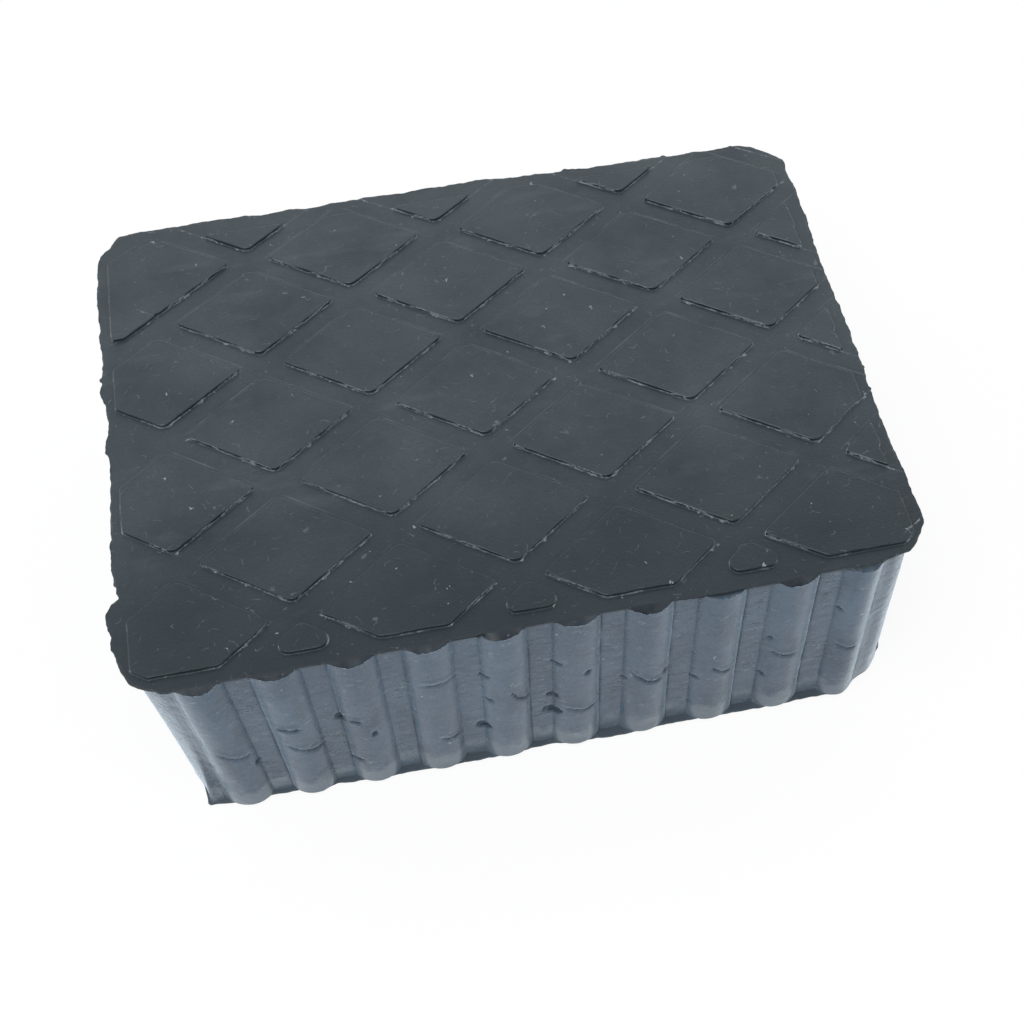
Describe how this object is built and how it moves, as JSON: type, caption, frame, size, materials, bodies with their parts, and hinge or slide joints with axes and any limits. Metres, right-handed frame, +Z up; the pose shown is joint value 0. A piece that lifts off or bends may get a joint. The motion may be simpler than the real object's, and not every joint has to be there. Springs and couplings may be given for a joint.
{
  "type": "car lift rubber pad",
  "caption": "Rectangular moulded rubber jacking block with ribbed sides and a top face of low diamond studs, laid between a lift arm and a vehicle's jacking point.",
  "frame": {"origin": "middle of the underside, over the torn flash", "axes": "+X along the length, +Y from the trimmed front long side to the back long side, +Z up through the studded face"},
  "size_m": [0.1572, 0.1226, 0.0456],
  "materials": {
    "rubber": "matte black moulded rubber with a grey bloom on the side walls"
  },
  "bodies": {
    "root": {"rubber_pad": "rubber"}
  },
  "joints": []
}
